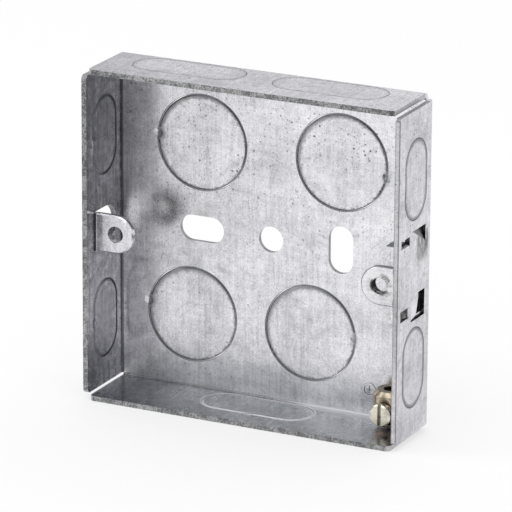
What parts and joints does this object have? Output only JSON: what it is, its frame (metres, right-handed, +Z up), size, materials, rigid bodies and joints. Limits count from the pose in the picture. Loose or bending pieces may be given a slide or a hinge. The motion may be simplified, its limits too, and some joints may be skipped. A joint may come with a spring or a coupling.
{
  "type": "flush back box",
  "caption": "Shallow square flush back box of folded galvanised steel with knock-outs, a fixed lug, a sliding lug and a brass earth terminal.",
  "frame": {"origin": "centre of the back face, on the axis of the round fixing hole", "axes": "+X to the right seen from the open front, +Y into the wall, +Z up"},
  "size_m": [0.072, 0.0166, 0.072],
  "materials": {
    "galvanised_sheet": "galvanised, semi-matt, with rolling streaks",
    "plated_lug": "zinc plated, satin",
    "brass_pillar": "turned, satin",
    "brass_screw": "turned, satin"
  },
  "bodies": {
    "box": {"box_shell": "galvanised_sheet", "earth_terminal": "brass_pillar"},
    "lug": {"adjustable_lug": "plated_lug"},
    "screw": {"earth_screw": "brass_screw"}
  },
  "joints": [
    {"name": "lug_slide", "type": "slide", "parent": "box", "child": "lug", "axis": [0, 0, 1], "range_m": [0, 0.0043]},
    {"name": "earth_screw_turn", "type": "hinge", "parent": "box", "child": "screw", "pos_m": [0.0292, -0.0075, -0.0312], "axis": [0, 1, 0], "range_deg": [-720, 240]}
  ]
}
